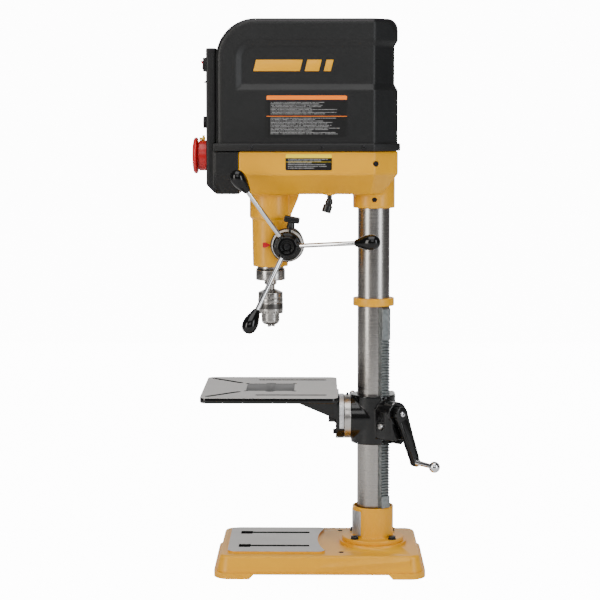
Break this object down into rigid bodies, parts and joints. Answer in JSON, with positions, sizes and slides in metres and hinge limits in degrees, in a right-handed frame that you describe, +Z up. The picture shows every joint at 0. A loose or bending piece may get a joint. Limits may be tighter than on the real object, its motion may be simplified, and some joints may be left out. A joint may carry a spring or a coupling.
{
  "type": "drill press",
  "caption": "Bench drill press: cast base, steel column with rack, crank-raised tilting table, belt-driven quill head with three-spoke feed and keyed chuck.",
  "frame": {"origin": "the column's axis where it meets the floor or bench", "axes": "+Z up, the operator stands on the -Y side facing +Y, +X to the operator's right"},
  "size_m": [0.3274, 0.535, 1.1932],
  "materials": {
    "gold_paint": "semi-gloss enamel",
    "black_enamel": "gloss enamel",
    "black_plastic": "fine moulded texture",
    "gloss_plastic": "polished",
    "ground_steel": "ground",
    "bright_steel": "turned bright",
    "chrome": "polished chrome plate",
    "black_oxide": "black oxide",
    "red_plastic": "satin",
    "yellow_plastic": "satin",
    "label_film": "printed film",
    "aluminium_plate": "satin",
    "belt_rubber": "matt",
    "zinc_steel": "zinc plated"
  },
  "bodies": {
    "frame": {"base": "gold_paint", "column_socket": "gold_paint", "socket_bolts": "black_oxide", "maker_plate": "aluminium_plate", "column": "ground_steel", "rack_ring": "gold_paint", "set_screws": "black_oxide", "head_casting": "gold_paint", "belt_cover": "black_plastic", "cover_screws": "black_oxide", "front_panel": "black_plastic", "rocker_bezel": "gloss_plastic", "speed_readout": "gloss_plastic", "stop_switch_body": "red_plastic", "labels": "label_film", "lamp_socket": "black_plastic", "depth_pointer": "red_plastic", "spring_can": "black_enamel", "return_spring": "zinc_steel", "feed_bush": "bright_steel", "motor": "black_enamel", "motor_plate": "zinc_steel", "drive_belt": "belt_rubber", "pulley_bearing": "bright_steel"},
    "rack": {"rack": "zinc_steel"},
    "bracket": {"table_bracket": "black_enamel", "swing_lock_bolt": "black_oxide", "lift_gear_axle": "bright_steel"},
    "lift_gear": {"lift_gear": "bright_steel"},
    "crank": {"worm_shaft": "bright_steel", "lift_crank": "black_enamel", "crank_screw": "bright_steel", "crank_handle": "chrome"},
    "column_lock": {"column_lock": "chrome"},
    "table": {"table": "ground_steel", "table_insert": "ground_steel", "tilt_bolts": "black_oxide", "tilt_scale": "aluminium_plate"},
    "quill": {"quill": "ground_steel", "quill_bearings": "bright_steel", "quill_cap": "bright_steel"},
    "spindle": {"spindle": "bright_steel", "chuck_body": "bright_steel"},
    "chuck_sleeve": {"chuck_sleeve": "bright_steel"},
    "jaw_1": {"chuck_jaw_1": "bright_steel"},
    "jaw_2": {"chuck_jaw_2": "bright_steel"},
    "jaw_3": {"chuck_jaw_3": "bright_steel"},
    "spindle_pulley": {"spindle_pulley": "aluminium_plate"},
    "motor_pulley": {"motor_pulley": "aluminium_plate"},
    "feed": {"feed_shaft": "bright_steel", "feed_hub": "gloss_plastic", "feed_rods": "chrome", "feed_knobs": "gloss_plastic"},
    "depth_dial": {"depth_dial": "black_oxide"},
    "dial_lock": {"dial_lock_knob": "gloss_plastic"},
    "rocker": {"power_rocker": "red_plastic"},
    "speed_knob": {"speed_knob": "gloss_plastic"},
    "stop_button": {"stop_button": "red_plastic"},
    "stop_key": {"stop_key": "yellow_plastic"},
    "lamp": {"lamp_pod": "gloss_plastic"}
  },
  "joints": [
    {"name": "table_swing", "type": "hinge", "parent": "frame", "child": "rack", "pos_m": [0, 0, 0.35], "axis": [0, 0, 1], "range_deg": [-180, 180]},
    {"name": "table_lift", "type": "slide", "parent": "rack", "child": "bracket", "axis": [0, 0, 1], "range_m": [-0.135, 0.12]},
    {"name": "lift_gear_turn", "type": "hinge", "parent": "bracket", "child": "lift_gear", "pos_m": [0.05193, 0.03637, 0.3171], "axis": [-0.5736, 0.8192, 0], "range_deg": [-390, 435]},
    {"name": "crank_turn", "type": "hinge", "parent": "bracket", "child": "crank", "pos_m": [0.07372, 0.05162, 0.347], "axis": [-0.8192, -0.5736, 0], "range_deg": [-7730, 6870]},
    {"name": "column_lock_turn", "type": "hinge", "parent": "bracket", "child": "column_lock", "pos_m": [-0.07, 0, 0.366], "axis": [-1, 0, 0], "range_deg": [0, 120]},
    {"name": "table_tilt", "type": "hinge", "parent": "bracket", "child": "table", "pos_m": [0, -0.064, 0.3285], "axis": [0, 1, 0], "range_deg": [-45, 45]},
    {"name": "quill_feed", "type": "slide", "parent": "frame", "child": "quill", "axis": [0, 0, -1], "range_m": [0, 0.08]},
    {"name": "spindle_spin", "type": "hinge", "parent": "quill", "child": "spindle", "pos_m": [0, -0.2255, 0.6], "axis": [0, 0, 1], "continuous": true},
    {"name": "chuck_sleeve_turn", "type": "hinge", "parent": "spindle", "child": "chuck_sleeve", "pos_m": [0, -0.2255, 0.57], "axis": [0, 0, 1], "range_deg": [0, 5760]},
    {"name": "spindle_pulley_spin", "type": "hinge", "parent": "frame", "child": "spindle_pulley", "pos_m": [0, -0.2255, 0.93], "axis": [0, 0, 1], "continuous": true},
    {"name": "motor_spin", "type": "hinge", "parent": "frame", "child": "motor_pulley", "pos_m": [0, -0.05, 0.93], "axis": [0, 0, 1], "continuous": true},
    {"name": "feed_turn", "type": "hinge", "parent": "frame", "child": "feed", "pos_m": [0.06, -0.1875, 0.709], "axis": [1, 0, 0], "range_deg": [0, 416.6], "stiffness_Nm_per_rad": 0.12, "springref_deg": -515.66},
    {"name": "depth_dial_turn", "type": "hinge", "parent": "feed", "child": "depth_dial", "pos_m": [0.05, -0.1875, 0.709], "axis": [1, 0, 0], "continuous": true},
    {"name": "dial_lock_turn", "type": "hinge", "parent": "depth_dial", "child": "dial_lock", "pos_m": [0.067, -0.1875, 0.709], "axis": [0, 0.1736, 0.9848], "range_deg": [0, 360]},
    {"name": "power_rocker_tip", "type": "hinge", "parent": "frame", "child": "rocker", "pos_m": [0, -0.358, 1.097], "axis": [-1, 0, 0], "range_deg": [0, 12]},
    {"name": "speed_knob_turn", "type": "hinge", "parent": "frame", "child": "speed_knob", "pos_m": [0, -0.36, 0.973], "axis": [0, -1, 0], "range_deg": [0, 270]},
    {"name": "stop_button_press", "type": "slide", "parent": "frame", "child": "stop_button", "axis": [0, 1, 0], "range_m": [0, 0.002], "stiffness_N_per_m": 600, "springref_m": -0.004},
    {"name": "stop_key_pull", "type": "slide", "parent": "frame", "child": "stop_key", "axis": [0, 0, 1], "range_m": [0, 0.01]},
    {"name": "lamp_swivel", "type": "hinge", "parent": "frame", "child": "lamp", "pos_m": [0.06, -0.097, 0.805], "axis": [1, 0, 0], "range_deg": [-25, 25]},
    {"name": "jaw_1_slide", "type": "slide", "parent": "spindle", "child": "jaw_1", "axis": [0, 0.2419, 0.9703], "range_m": [0, 0.0281]},
    {"name": "jaw_2_slide", "type": "slide", "parent": "spindle", "child": "jaw_2", "axis": [-0.2095, -0.121, 0.9703], "range_m": [0, 0.0281]},
    {"name": "jaw_3_slide", "type": "slide", "parent": "spindle", "child": "jaw_3", "axis": [0.2095, -0.121, 0.9703], "range_m": [0, 0.0281]}
  ],
  "couplings": [
    {"joint": "table_lift", "follows": "crank_turn", "m_per_rad": 0.001},
    {"joint": "lift_gear_turn", "follows": "crank_turn", "ratio": -0.055556},
    {"joint": "quill_feed", "follows": "feed_turn", "m_per_rad": 0.011},
    {"joint": "spindle_pulley_spin", "follows": "spindle_spin", "ratio": 1},
    {"joint": "motor_spin", "follows": "spindle_spin", "ratio": 2},
    {"joint": "jaw_1_slide", "follows": "chuck_sleeve_turn", "m_per_rad": 0.00027852},
    {"joint": "jaw_2_slide", "follows": "chuck_sleeve_turn", "m_per_rad": 0.00027852},
    {"joint": "jaw_3_slide", "follows": "chuck_sleeve_turn", "m_per_rad": 0.00027852}
  ]
}
